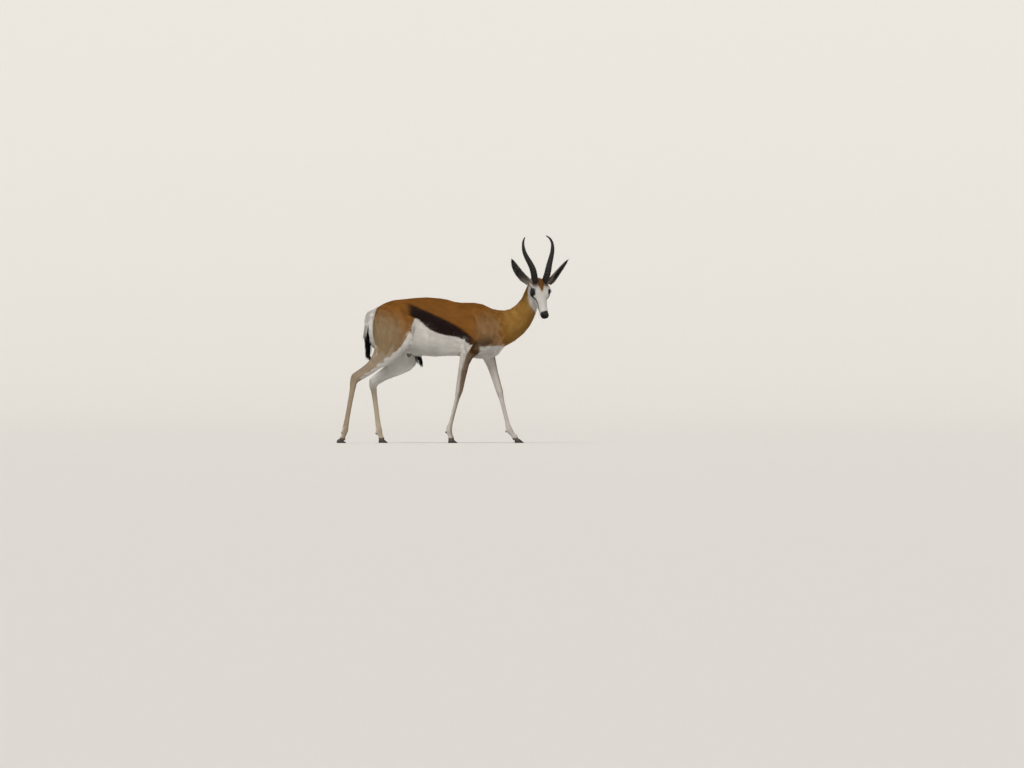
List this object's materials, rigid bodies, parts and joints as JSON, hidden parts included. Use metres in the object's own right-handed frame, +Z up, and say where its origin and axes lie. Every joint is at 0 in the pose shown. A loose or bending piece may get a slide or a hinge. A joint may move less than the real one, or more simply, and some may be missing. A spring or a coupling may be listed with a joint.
{
  "type": "springbok model",
  "caption": "Life-size springbok ram in mid-step, head turned to its right, with ringed lyre horns, tan back, dark flank band and white belly.",
  "frame": {"origin": "middle of the model's box at floor level", "axes": "+X the way the chest faces, +Y the animal's left, +Z up"},
  "size_m": [1.2518, 0.35, 1.1187],
  "materials": {
    "tan_hair": "short sleek hair",
    "white_hair": "short sleek hair",
    "dark_hair": "coarse hair",
    "face_hair": "very short hair",
    "ear_hair": "short hair over thin skin",
    "horn": "ringed horn",
    "hoof": "worn horn",
    "eye": "wet gloss"
  },
  "bodies": {
    "root": {"ear_left": "ear_hair", "ear_right": "ear_hair", "eye_left": "eye", "eye_right": "eye", "fore_cannon_left": "white_hair", "fore_cannon_right": "white_hair", "fore_claw_left_inner": "hoof", "fore_claw_left_outer": "hoof", "fore_claw_right_inner": "hoof", "fore_claw_right_outer": "hoof", "fore_dewclaw_left_left": "hoof", "fore_dewclaw_left_right": "hoof", "fore_dewclaw_right_left": "hoof", "fore_dewclaw_right_right": "hoof", "fore_pastern_left": "white_hair", "fore_pastern_right": "white_hair", "forearm_left": "tan_hair", "forearm_right": "tan_hair", "gaskin_left": "tan_hair", "gaskin_right": "tan_hair", "head": "face_hair", "hind_cannon_left": "white_hair", "hind_cannon_right": "white_hair", "hind_claw_left_inner": "hoof", "hind_claw_left_outer": "hoof", "hind_claw_right_inner": "hoof", "hind_claw_right_outer": "hoof", "hind_dewclaw_left_left": "hoof", "hind_dewclaw_left_right": "hoof", "hind_dewclaw_right_left": "hoof", "hind_dewclaw_right_right": "hoof", "hind_pastern_left": "white_hair", "hind_pastern_right": "white_hair", "horn_left": "horn", "horn_right": "horn", "neck": "tan_hair", "scrotum": "dark_hair", "sheath": "dark_hair", "shoulder_left": "tan_hair", "shoulder_right": "tan_hair", "tail": "white_hair", "tail_brush": "dark_hair", "thigh_left": "tan_hair", "thigh_right": "tan_hair", "torso": "tan_hair"}
  },
  "joints": []
}
